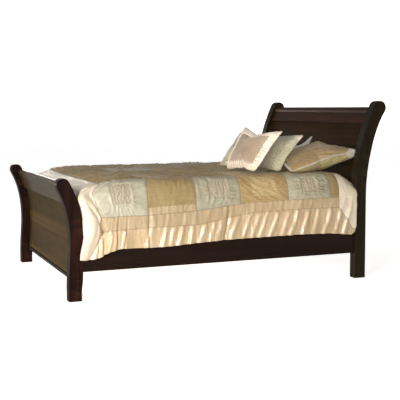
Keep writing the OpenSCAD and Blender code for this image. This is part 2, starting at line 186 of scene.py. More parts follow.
class Nodes:
    """A short way to write a material's nodes."""

    def __init__(self, name):
        self.material = bpy.data.materials.new(name)
        self.material.use_nodes = True
        self.tree = self.material.node_tree
        self.shader = self.tree.nodes["Principled BSDF"]

    def add(self, kind, inputs=None, **settings):
        node = self.tree.nodes.new("ShaderNode" + kind)
        for key, value in settings.items():
            setattr(node, key, value)
        for key, value in (inputs or {}).items():
            self.put(node.inputs[key], value)
        return node

    def put(self, socket, value):
        if isinstance(value, bpy.types.NodeSocket):
            self.tree.links.new(value, socket)
        else:
            socket.default_value = value

    def object_coords(self):
        return self.add("TexCoord").outputs["Object"]

    def cloth_coords(self):
        return self.add("Attribute", attribute_name="flat_cloth").outputs["Vector"]

    def stretch(self, vector, scale, turn=0.0):
        return self.add("Mapping", {"Vector": vector, "Scale": scale, "Rotation": (0, 0, turn)}).outputs[0]

    def noise(self, vector, scale, detail=3.0, rough=0.55, distortion=0.0):
        return self.add("TexNoise", {"Vector": vector, "Scale": scale, "Detail": detail,
                                     "Roughness": rough, "Distortion": distortion}).outputs["Fac"]

    def wave(self, vector, direction="X", scale=THREADS):
        return self.add("TexWave", {"Vector": vector, "Scale": scale},
                        bands_direction=direction).outputs["Fac"]

    def ramp(self, value, stops):
        node = self.add("ValToRGB", {"Fac": value})
        band = node.color_ramp
        while len(band.elements) < len(stops):
            band.elements.new(0.5)
        for element, (at, colour) in zip(band.elements, stops):
            element.position, element.color = at, colour
        return node.outputs["Color"]

    def fade(self, value, low, high, ends=(BLACK, WHITE)):
        return self.ramp(value, [(low, ends[0]), (high, ends[1])])

    def mix(self, factor, a, b, blend="MIX"):
        node = self.add("Mix", data_type="RGBA", blend_type=blend)
        self.put(node.inputs[0], factor)
        self.put(node.inputs[6], a)
        self.put(node.inputs[7], b)
        return node.outputs[2]

    def math(self, operation, a, b=0.0, c=0.0):
        node = self.add("Math", operation=operation)
        for socket, value in zip(node.inputs, (a, b, c)):
            self.put(socket, value)
        return node.outputs[0]

    def tint(self, base, colour, amount, share):
        """Mixes a share of a colour into the base, where the amount is 1."""
        return self.mix(self.math("MULTIPLY", amount, share), base, colour)

    def span(self, value, low, high):
        return self.add("MapRange", {"Value": value, "To Min": low, "To Max": high}).outputs[0]

    def bump(self, height, distance, strength=1.0, normal=None):
        inputs = {"Height": height, "Distance": distance, "Strength": strength}
        if normal is not None:
            inputs["Normal"] = normal
        return self.add("Bump", inputs).outputs["Normal"]

    def finish(self, **sockets):
        for key, value in sockets.items():
            self.put(self.shader.inputs[key.replace("_", " ")], value)
        return self.material


def wood(name, along, tones, rough=0.3, coat=0.10, spec=0.12):
    """Stained and lacquered wood with its grain along one axis, 0, 1 or 2."""
    dark, mid, warm = map(srgb, tones)
    n = Nodes(name)
    where = n.object_coords()
    figure = n.noise(n.stretch(where, grain(along, 26.0, 1.3)), 1.0, 5, 0.6, 0.8)
    pores = n.noise(n.stretch(where, grain(along, 230.0, 5.0)), 1.0, 2, 0.5)
    broad = n.noise(where, 2.2, 2)
    base = n.ramp(figure, [(0.28, dark), (0.52, mid), (0.75, warm)])
    base = n.mix(n.span(broad, 0.0, 0.5), base, dark)
    base = n.mix(n.fade(pores, 0.30, 0.42, (WHITE, BLACK)), base, times(dark, 0.45))
    worn = n.fade(n.add("NewGeometry").outputs["Pointiness"], 0.52, 0.60)
    base = n.tint(base, times(warm, 2.2), worn, 0.35)
    roughness = n.span(n.math("ADD", figure, n.math("MULTIPLY", broad, 0.6)), rough - 0.07, rough + 0.10)
    normal = n.bump(figure, 0.0006, 0.25, n.bump(pores, 0.00025, 0.5))
    return n.finish(Base_Color=base, Roughness=roughness, Normal=normal, Coat_Weight=coat,
                    Coat_Roughness=0.14, Specular_IOR_Level=spec)


def bare_wood(name, along):
    """Plain softwood, with its grain along one axis."""
    n = Nodes(name)
    where = n.object_coords()
    rings = n.noise(n.stretch(where, grain(along, 18.0, 0.9)), 1.0, 4, 0.6, 1.2)
    fibres = n.noise(n.stretch(where, grain(along, 420.0, 8.0)), 1.0, 2)
    base = n.ramp(rings, [(0.3, srgb("b98f5d")), (0.5, srgb("d3b184")), (0.72, srgb("e0c79d"))])
    base = n.mix(n.span(fibres, 0.0, 0.35), base, srgb("a97f50"))
    return n.finish(Base_Color=base, Roughness=n.span(rings, 0.5, 0.68),
                    Normal=n.bump(fibres, 0.0004, 0.6))


def metal(name, colour, dull):
    n = Nodes(name)
    where = n.object_coords()
    spangle = n.add("TexVoronoi", {"Vector": where, "Scale": 260.0}).outputs["Color"]
    patch = n.noise(where, 45.0, 3)
    base = n.mix(0.08, n.tint(srgb(colour), srgb(dull), patch, 0.5), spangle, "OVERLAY")
    return n.finish(Base_Color=base, Metallic=1.0, Roughness=n.span(patch, 0.28, 0.5),
                    Normal=n.bump(n.noise(where, 600.0, 2), 0.0001, 0.5))


def plastic(name, code):
    n = Nodes(name)
    where, colour = n.object_coords(), srgb(code)
    speckle = n.noise(where, 900.0, 2)
    base = n.mix(n.span(n.noise(where, 60.0, 2), 0.0, 0.4), colour, times(colour, 2.0))
    return n.finish(Base_Color=base, Roughness=n.span(speckle, 0.45, 0.6),
                    Normal=n.bump(speckle, 0.0002, 0.5))


def cloth(name, tones, rough=0.42, sheen=0.05, ripple=0.0012, ripple_scale=(14.0, 60.0), turn=0.0,
          spec=0.5, slub=0.0, pattern=None):
    """Woven cloth: two tones that shade into each other, fine threads, soft ripples, a sheen and painted
    seam shade.
    pattern(n, where, base) returns a changed colour, a height and its depth, for figured cloths."""
    colour, second = map(srgb, tones)
    n = Nodes(name)
    where = n.cloth_coords()
    broad = n.noise(where, 5.0, 4, 0.6)
    base = n.mix(n.fade(broad, 0.35, 0.65), colour, second)
    threads = n.math("MAXIMUM", n.wave(where), n.math("MULTIPLY", n.wave(where, "Y"), 0.8))
    base = n.mix(n.span(threads, 0.0, 0.10), base, times(colour, 1.25))
    if slub:
        slubs = n.noise(n.stretch(where, (9.0, 420.0, 1.0), turn), 1.0, 3, 0.6)
        base = n.tint(base, times(second, 0.62), n.fade(slubs, 0.5, 0.72), slub)
    # painted shade: the colour is darkened along the seams, where their shadow would fall
    painted_seam_shade = n.fade(n.add("Attribute", attribute_name="seam").outputs["Fac"], 0.45, 0.85)
    base = n.tint(base, times(second, 0.22), painted_seam_shade, 0.50)
    folds = n.noise(n.stretch(where, (*ripple_scale, 1.0), turn), 1.0, 3, 0.5, 0.6)
    normal = n.bump(folds, ripple, 1.0, n.bump(threads, THREAD_DEPTH, 0.7))
    if pattern:
        base, height, depth = pattern(n, where, base)
        normal = n.bump(height, depth, 1.0, normal)
    return n.finish(Base_Color=base, Roughness=n.span(broad, rough - 0.05, rough + 0.06), Normal=normal,
                    Sheen_Weight=sheen, Sheen_Roughness=0.35, Specular_IOR_Level=spec)


def brocade_figure(n, where, base):
    swirl = n.noise(where, 46.0, 4, 0.55, 2.2)
    figure = n.ramp(swirl, [(0.44, BLACK), (0.50, WHITE), (0.60, WHITE), (0.66, BLACK)])
    return n.tint(base, srgb("cdb68a"), figure, 0.42), figure, 0.0010


def ruched_figure(n, where, base):
    squiggle = n.mix(0.05, n.stretch(where, (1.0, 0.3, 1.0)),
                     n.add("TexNoise", {"Vector": where, "Scale": 28.0, "Detail": 1.0}).outputs["Color"])
    lines = n.fade(n.wave(squiggle, "X", 13.0), 0.1, 0.75)
    return n.tint(base, srgb("b8a285"), lines, 0.34), lines, 0.0020


def crinkle_figure(n, where, base):
    cells = n.add("TexVoronoi", {"Vector": n.stretch(where, (1.0, 1.7, 1.0)), "Scale": 90.0},
                  feature="DISTANCE_TO_EDGE").outputs["Distance"]
    # painted shade: the crinkles' valleys are darkened towards olive, and the same mask gives their depth
    valley_depth_and_shade = n.fade(cells, 0.0, 0.10)
    return n.mix(n.math("SUBTRACT", 1.0, valley_depth_and_shade), base, srgb("857e58")), valley_depth_and_shade, 0.010


def flower_figure(n, where, base):
    spots = n.add("TexVoronoi", {"Vector": where, "Scale": 11.0, "Randomness": 0.7})
    petal = n.fade(spots.outputs["Distance"], 0.05, 0.11, (WHITE, BLACK))
    return n.tint(base, srgb("6f5a3c"), petal, 0.6), petal, 0.0015


def ruffle_figure(n, where, base):
    """Pleats that run across the border of the throw pillow on all four sides, with painted shade between
    them.
    """
    x, y, _ = n.add("SeparateXYZ", {"Vector": where}).outputs
    at_side = n.math("GREATER_THAN", n.math("ADD", n.math("ABSOLUTE", x), -0.05), n.math("ABSOLUTE", y))
    at_end = n.math("SUBTRACT", 1.0, at_side)
    run = n.math("ADD", n.math("MULTIPLY", at_side, y), n.math("MULTIPLY", at_end, x))
    wobble = n.math("MULTIPLY", n.noise(where, 30.0, 2), 4.0)
    pleat = n.span(n.math("SINE", n.math("MULTIPLY_ADD", run, 2 * math.pi / 0.014, wobble)), 0.5, 1.0)
    # painted shade: the hollows between the pleats are darkened
    return n.tint(base, srgb("a8916f"), n.math("SUBTRACT", 1.0, pleat), 0.8), pleat, 0.003


# The stains: dark, middle and warm tone
DARK = "0f0906", "170d08", "22140c"
# lighter tones than the posts': partly the panel's own stain and partly a painted reflection
PANEL_STAIN_AND_REFLECTION = "3a2c18", "46361c", "4e3b20"
wood_x = wood("lacquer_across", 0, DARK)
wood_y = wood("lacquer_along", 1, DARK)
wood_foot_post = wood("lacquer_foot_posts", 2, ("0f0705", "1b0c07", "30150a"))
wood_head_post = wood("lacquer_head_posts", 2, ("19140b", "241c10", "2e2414"))
wood_panel = wood("lacquer_panel", 0, PANEL_STAIN_AND_REFLECTION, rough=0.40, coat=0.0, spec=0.05)
wood_head = wood("lacquer_head_panel", 0, ("201408", "2d1c0c", "38240f"), rough=0.40, coat=0.0, spec=0.03)
# the footboard's top rail shares the panel's lighter tones, which partly paint the bright band along its
# top
wood_roll = wood("lacquer_foot_rail", 0, PANEL_STAIN_AND_REFLECTION, coat=0.45)
# the headboard's top rail: a redder, lighter stain, partly its own tone and partly a painted warm
# reflection
wood_top_rail_painted_reflection = wood("lacquer_top_rail_painted_reflection", 0, ("1e0e06", "321807", "472308"))
pine_x = bare_wood("pine_across", 0)
pine_y = bare_wood("pine_along", 1)
zinc = metal("zinc_plate", "b6bac0", "8f9296")
screw_metal = metal("screw_zinc", "c7c2b2", "9a958a")
glide_plastic = plastic("glide_black", "1d1c1b")

SAGE = dict(rough=0.36, ripple_scale=(13.0, 26.0), ripple=0.008)
TAFFETA = dict(slub=0.5, ripple_scale=(8.0, 24.0), ripple=0.007)
cream = cloth("satin_cream", ("dacab3", "d6c5ab"), rough=0.32, ripple_scale=(22.0, 5.0), ripple=0.009)
satin = cloth("satin_gold_cream", ("c5ae8b", "b79a74"), rough=0.27, sheen=0.1, ripple_scale=(24.0, 4.0),
              ripple=0.012, spec=0.8)
dusty = cloth("satin_dusty", ("b7a17f", "a68e6c"), rough=0.36, ripple_scale=(44.0, 7.0), ripple=0.004,
              slub=0.25)
sage = cloth("satin_sage", ("b4ad99", "a29b85"), **SAGE)
# a darker copy of the sage: painted shade for the squares nearer the head, where less light falls
sage_painted_shade = cloth("satin_sage_painted_shade", ("a39c85", "928b73"), **SAGE)
gold = cloth("taffeta_gold", ("9f8b62", "8f794e"), rough=0.38, turn=0.5, **TAFFETA)
bronze = cloth("taffeta_bronze", ("a2895d", "92784c"), rough=0.4, turn=-0.4, **TAFFETA)
mauve = cloth("satin_mauve", ("a98f68", "917a55"), rough=0.33, turn=0.9, ripple_scale=(9.0, 24.0),
              ripple=0.007)
brocade = cloth("brocade_gold", ("a08a5d", "937c50"), rough=0.38, pattern=brocade_figure)
ruched = cloth("ruched_centre", ("a39a86", "958b75"), rough=0.36, pattern=ruched_figure)
lining = cloth("lining_cotton", ("d9cdb4", "cfc2a6"), rough=0.8, spec=0.2, sheen=0.1)
ticking = cloth("ticking", ("ece6d8", "e2dac8"), rough=0.7, spec=0.25, sheen=0.1)
piping_cloth = cloth("ticking_piping", ("cdbf9f", "bfae8c"), rough=0.55, spec=0.3, sheen=0.25)
champagne = cloth("satin_champagne", ("ab9780", "97836b"), rough=0.34, sheen=0.25, ripple=0.002,
                  ripple_scale=(10.0, 26.0), spec=0.6, pattern=flower_figure)
pleat_cream = cloth("satin_pleated", ("e9dfcf", "ddd0bc"), rough=0.36, sheen=0.25, ripple=0.001, spec=0.6,
                    pattern=ruffle_figure)
gold_satin = cloth("satin_gold", ("a58b63", "92774b"), rough=0.28, sheen=0.25, ripple=0.010,
                   ripple_scale=(5.0, 14.0), spec=0.8)
sage_crinkle = cloth("sage_crinkle", ("e6dfc2", "d8d0aa"), rough=0.30, sheen=0.1, spec=0.7,
                     pattern=crinkle_figure)
sage_plain = cloth("sage_back", ("b0a172", "9d8f62"), rough=0.45, sheen=0.25, ripple=0.002)
pearl = cloth("satin_pearl", ("cfc9bb", "bdb5a4"), rough=0.34, sheen=0.25, spec=0.6, ripple=0.0025)


# ---------------------------------------------------------------- the wooden frame

def shade_group():
    """Geometry nodes that shade smooth, apart from edges sharper than a bevel's own."""
    group = bpy.data.node_groups.new("smooth_faces", "GeometryNodeTree")
    group.interface.new_socket("Geometry", in_out="INPUT", socket_type="NodeSocketGeometry")
    group.interface.new_socket("Geometry", in_out="OUTPUT", socket_type="NodeSocketGeometry")
    nodes, links = group.nodes, group.links
    start, end = nodes.new("NodeGroupInput"), nodes.new("NodeGroupOutput")
    faces = nodes.new("GeometryNodeSetShadeSmooth")
    edges = nodes.new("GeometryNodeSetShadeSmooth")
    edges.domain = "EDGE"
    angle = nodes.new("GeometryNodeInputMeshEdgeAngle")
    limit = nodes.new("FunctionNodeCompare")
    limit.operation = "LESS_THAN"
    limit.inputs["B"].default_value = math.radians(42)
    links.new(start.outputs[0], faces.inputs["Geometry"])
    links.new(faces.outputs[0], edges.inputs["Geometry"])
    links.new(angle.outputs["Unsigned Angle"], limit.inputs["A"])
    links.new(limit.outputs[0], edges.inputs["Shade Smooth"])
    links.new(edges.outputs[0], end.inputs[0])
    return group


SHADE = shade_group()


def ease(obj, width):
    """Rounds a CAD part's sharp edges a little and shades it smooth."""
    weld = obj.modifiers.new("weld", "WELD")
    weld.merge_threshold = 0.00002
    bevel = obj.modifiers.new("bevel", "BEVEL")
    bevel.width, bevel.segments = width, 3
    bevel.limit_method, bevel.angle_limit = "ANGLE", math.radians(38)
    bevel.use_clamp_overlap = True
    shade = obj.modifiers.new("shade", "NODES")
    shade.node_group = SHADE
    obj.modifiers.new("normals", "WEIGHTED_NORMAL").keep_sharp = True


# The first word found in a CAD part's name gives its material and how far its edges are eased
FINISHES = (
    ("screws", screw_metal, 0.0), ("dowels", pine_x, 0.0015),
    ("headboard_post", wood_head_post, 0.004), ("footboard_post", wood_foot_post, 0.004),
    ("headboard_panel", wood_head, 0.001), ("footboard_panel", wood_panel, 0.001),
    ("headboard_top_rail", wood_top_rail_painted_reflection, 0.0025), ("footboard_top_rail", wood_roll, 0.0025),
    ("board_", wood_x, 0.0025), ("side_rail", wood_y, 0.003), ("slat_", pine_x, 0.0015),
    ("cleat_", pine_y, 0.0015), ("centre_beam", pine_y, 0.0015), ("glide_", glide_plastic, 0.0008),
    ("", zinc, 0.0004))
SOFT = ("box_spring", "mattress", "comforter", "pillow_back", "pillow_side", "pillow_sham", "pillow_throw")
for node_name, node_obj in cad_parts.items():
    if node_name in SOFT:
        continue
    material, width = next(finish[1:] for finish in FINISHES if finish[0] in node_name)
    node_obj.data.materials.clear()
    node_obj.data.materials.append(material)
    if width:
        ease(node_obj, width)

# a dark cord as painted shadow, along the line where the headboard's top rail meets its panel
rail_lo, rail_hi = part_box("headboard_top_rail")
shadow_cord_y = rail_lo.y + 0.0006
shadow_cord = tube("headboard_shadow_cord", [(x, shadow_cord_y, rail_lo.z) for x in (rail_lo.x, rail_hi.x)], 0.0022,
              wood("groove_shadow", 0, ("0a0605", "0d0806", "120a08"), rough=0.6, coat=0.0), closed=False)
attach(shadow_cord, "frame")


# ---------------------------------------------------------------- the comforter

# Seams that run across the bed, as distances from the foot posts' inner faces
COLS = [0.0, 0.069, 0.444, 0.792, 1.124, 1.499, 1.844, 1.914, 2.060]
# Seams that run along the bed, as distances over the cloth from the hem: hem, border, band, then squares
BORDER, BAND, STRIP, SHOULDER, HANG = 0.125, 0.215, 0.270, 0.425, 0.530
SQUARE = 0.365
HALF = HANG + 2 * SQUARE
ROWS = [BAND, HANG, HANG + SQUARE, HALF, HALF + SQUARE, 2 * HALF - HANG, 2 * HALF - BAND]
RUCHE, FIGURE = 0.070, 0.0975          # half the width of a ruched and of a brocade centre
# Colours of the squares: from the right-hand side to the left, and from the foot to the head
PATTERN = ["SGSBS", "BMGMG", "MGBGM", "GSMBG", "MBGSM", "GSMBS"]

# The cross-section from the hem to the middle, as half width and height
PROFILE = [(0.859, 0.335), (0.856, 0.42), (0.850, 0.52), (0.843, 0.62), (0.832, 0.69), (0.815, 0.737),
           (0.794, 0.764), (0.769, 0.779), (0.737, 0.787), (0.69, 0.790), (0.50, 0.788), (0.0, 0.786)]
# Heights of the hem and of the two seams above it, along the bed
HEM_LINE = ([-0.02, 0.014, 0.061, 0.108, 0.142, 0.245, 0.453, 0.596, 0.814, 1.0, 1.19, 1.59, 1.835, 1.96,
             2.02, 2.046, 2.062],
            [0.290, 0.275, 0.279, 0.296, 0.320, 0.337, 0.331, 0.333, 0.347, 0.354, 0.357, 0.360, 0.355,
             0.343, 0.336, 0.354, 0.400])
BORDER_LINE = ([0.0, 0.137, 0.454, 0.814, 1.191, 1.585, 1.873, 2.06],
               [0.440, 0.456, 0.466, 0.470, 0.533, 0.544, 0.542, 0.545])
BAND_LINE = ([0.0, 0.138, 0.247, 0.455, 0.814, 1.19, 1.584, 1.789, 2.06],
             [0.545, 0.548, 0.552, 0.548, 0.566, 0.606, 0.612, 0.615, 0.618])
# How far the mattress's ends fall away, from the foot and from the head
FOOT_FALL = ([0.0, 0.034, 0.069, 0.111, 0.194, 0.28], [0.085, 0.064, 0.049, 0.034, 0.014, 0.004])
HEAD_FALL = ([0.0, 0.017, 0.05, 0.10, 0.16], [0.075, 0.066, 0.040, 0.013, 0.0])
# Where the gathered border's folds stand, as distances from the foot, and how far they lean
FOLDS = [0.150, 0.190, 0.270, 0.460, 0.565, 0.630, 0.685, 0.760, 0.845, 0.915, 0.960, 1.075, 1.165, 1.230,
         1.290, 1.370, 1.465, 1.535, 1.630, 1.720, 1.810, 1.900, 1.970]
FOLD_LEAN = ([0.0, 0.5, 1.2, 2.0], [0.05, 0.25, 0.42, 0.30])
# The bed-side edge of a foot post: how far it stands back towards the foot, by height
POST_EDGE = ([0.45, 0.55, 0.60, 0.65, 0.70, 0.74], [0.002, 0.004, 0.010, 0.022, 0.038, 0.050])
# How the top follows the mattress's foot end and drops behind the footboard: (distance, fall). The flap is
# what hangs down there, the path starts where the mattress begins to fall away, and it ends straight down.
FLAP, FLAP_START, FLAP_Y = 0.27, 0.28, 0.0045
FLAP_PATH = [(FLAP_START, -0.004), (0.194, -0.014), (0.111, -0.034), (0.069, -0.049), (0.034, -0.064),
             (0.013, -0.083), (0.006, -0.11), (FLAP_Y, -0.15), (FLAP_Y, -0.22), (FLAP_Y, -0.29)]
TOP_SHIFT = 0.065           # how far the top's squares stand nearer to the foot than the side's
# How far the side's foot end leans towards the head, by height
SLANT = ([0.28, 0.46, 0.55, 0.60, 0.70, 0.80], [0.03, 0.045, 0.055, 0.04, 0.015, 0.0])
# How far the border's gathers, their run-out into the band above, and the broad waves stand out
GATHER, GATHER_ABOVE, BIG_WAVES = 0.0185, 0.0045, 0.007
# Single folds on the side: (distance, height) points, width and depth at the top and the bottom
SIDE_FOLDS = (
    ([(0.012, 0.74), (0.030, 0.46), (-0.004, 0.29)], (0.016, 0.026), (0.020, 0.032)),
    ([(0.046, 0.76), (0.070, 0.60), (0.098, 0.45), (0.118, 0.29)], (0.007, 0.010), (-0.020, -0.024)),
    ([(0.026, 0.64), (0.060, 0.53), (0.092, 0.45)], (0.006, 0.007), (-0.018, -0.018)),
    ([(0.088, 0.45), (0.060, 0.36), (0.030, 0.28)], (0.007, 0.009), (-0.020, -0.020)),
    ([(0.092, 0.45), (0.078, 0.36), (0.066, 0.28)], (0.006, 0.008), (-0.014, -0.018)),
    ([(0.215, 0.55), (0.213, 0.44), (0.210, 0.33)], (0.006, 0.007), (-0.006, -0.014)),
    ([(0.290, 0.55), (0.285, 0.45), (0.262, 0.33)], (0.007, 0.009), (-0.008, -0.018)),
    ([(0.455, 0.60), (0.450, 0.45), (0.450, 0.33)], (0.006, 0.006), (-0.012, -0.016)),
    ([(1.04, 0.56), (1.03, 0.50), (1.00, 0.35)], (0.008, 0.010), (-0.012, -0.018)))
THICK, THICKER_ON_TOP = 0.009, 0.008
TOP_EDGE = 0.74, 0.81       # between these distances from the middle, the top turns into the hanging side
FLAP_HALF = 0.742           # half the width of what is tucked behind the footboard
# SEAM_SHADE is how wide the painted shade line along a seam is
PUFF, SEAM_DEPTH, SEAM_SHADE = 0.0065, 0.0022, 0.0065     # the last is how wide a seam's dark line is
CLOTHS = [cream, satin, dusty, sage, gold, bronze, mauve, ruched, brocade, lining, sage_painted_shade]
CREAM, SATIN, DUSTY, SAGE_SQUARE, GOLD, BRONZE, MAUVE, RUCHED, BROCADE, LINING, SAGE_PAINTED_SHADE = range(11)
LETTERS = {"S": SAGE_SQUARE, "G": GOLD, "B": BRONZE, "M": MAUVE}


def curve_through(points, steps=400):
    """A smooth line through points, as positions and distances along it."""
    p = np.asarray(points, float)
    ends = np.vstack([2 * p[0] - p[1], p, 2 * p[-1] - p[-2]])
    out = []
    for k in range(len(p) - 1):
        a, b, c, d = ends[k:k + 4]
        t = np.linspace(0, 1, steps // (len(p) - 1), endpoint=False)[:, None]
        out.append(0.5 * (2 * b + (c - a) * t + (2 * a - 5 * b + 4 * c - d) * t ** 2
                          + (3 * b - a - 3 * c + d) * t ** 3))
    line = np.vstack(out + [p[-1:]])
    return line, np.concatenate([[0], np.cumsum(np.linalg.norm(np.diff(line, axis=0), axis=1))])


def fill(keys, step):
    """Positions from the first key to the last that hit every key, no further apart than step."""
    out = [keys[0]]
    for a, b in zip(keys, keys[1:]):
        if b - a > 1e-4:
            out += list(np.linspace(a, b, max(1, math.ceil((b - a) / step)) + 1)[1:])
    return np.array(out)


def seam_distance(x, seams):
    return np.min([np.abs(x - s) for s in seams], axis=0)


def side_fold(c, z, line, width, depth):
    """A fold along a line of (distance, height) points: width and depth at its top and bottom."""
    at, height = np.array(sorted(line, key=lambda p: p[1])).T
    middle = np.interp(z, height, at)
    low, high = height[0], height[-1]
    share = np.clip((z - low) / (high - low), 0, 1)
    w, d = (pair[1] + (pair[0] - pair[1]) * share for pair in (width, depth))
    ends = smooth(z, low - 0.03, low + 0.01) * (1 - smooth(z, high - 0.03, high + 0.02))
    return d * bell(c, middle, w) * ends


def centre_edges(seams):
    """Where the edges of the ruched and brocade centres stand between pairs of seams."""
    return {(p + q) / 2 + side * half for p, q in zip(seams, seams[1:])
            for half in (RUCHE, FIGURE) for side in (-1, 1)}


def past_mitre(c, a):
    """Above 0 on the plain side of the head corner's mitre, below 0 on the gathered border's side."""
    return (c - COLS[7]) / (COLS[8] - COLS[7]) - (BORDER - a) / BORDER


def squares(c, a):
    """Goes through the patchwork: each square's letter, row and column, which of the points lie in it,
    and how far they are from its middle: along the bed, across it, and the larger of the two."""
    for r, (a0, a1) in enumerate(zip(ROWS, ROWS[1:])):
        for k, (c0, c1) in enumerate(zip(COLS[1:6], COLS[2:7])):
            inside = (a >= a0) & (a <= a1) & (c >= c0) & (c <= c1)
            u, v = c - (c0 + c1) / 2, a - (a0 + a1) / 2
            yield PATTERN[r][k], r, k, inside, u, v, np.maximum(np.abs(u), np.abs(v))


def ruched_relief(u, v, edge, r):
    """The cords of a ruched centre, and the rays that its stitching draws out round it."""
    out = np.maximum(edge, 0)
    centre = 1 - smooth(edge, -0.008, 0.0)
    cords = np.abs(np.sin(math.pi * u / 0.024 + 2.2 * noise(u * 20, v * 34, 40 + r)))
    reach = (1 + out * 6) / 26
    rays = (0.4 - np.abs(noise(u / reach, v * 3, 41 + r))) * smooth(-np.abs(u), -0.11, -0.06)
    rays += (0.4 - np.abs(noise(u * 3, v / reach, 42 + r))) * smooth(-np.abs(v), -0.11, -0.06)
    return centre * (0.0060 * cords - 0.003) + 0.0240 * (edge > 0) * np.exp(-out / 0.05) * rays


def tucks(u, a):
    """Six tucks that fan out from a ruched centre down to the square's lower seam."""
    drop = ((BAND + HANG) / 2 - RUCHE - a) / ((HANG - BAND) / 2 - RUCHE)
    middles = (-0.052 + 0.020 * m + np.clip(drop, 0, 1) * (0.011 * m - 0.004) for m in range(6))
    total = sum(bell(u, middle, 0.0055) for middle in middles)
    return -0.0085 * total * smooth(drop, -0.08, 0.12) * (1 - 0.6 * smooth(drop, 0.5, 1.0))


def brocade_relief(core, u, v):
    """A stitched line round a brocade centre, and its raised figure."""
    return 0.0016 * (noise(u * 60, v * 60, 50) * (core < FIGURE) - bell(core, FIGURE, 0.004))


def normals(p):
    n = np.cross(np.gradient(p, axis=1), np.gradient(p, axis=0))
    return n / (np.linalg.norm(n, axis=2)[..., None] + 1e-12)


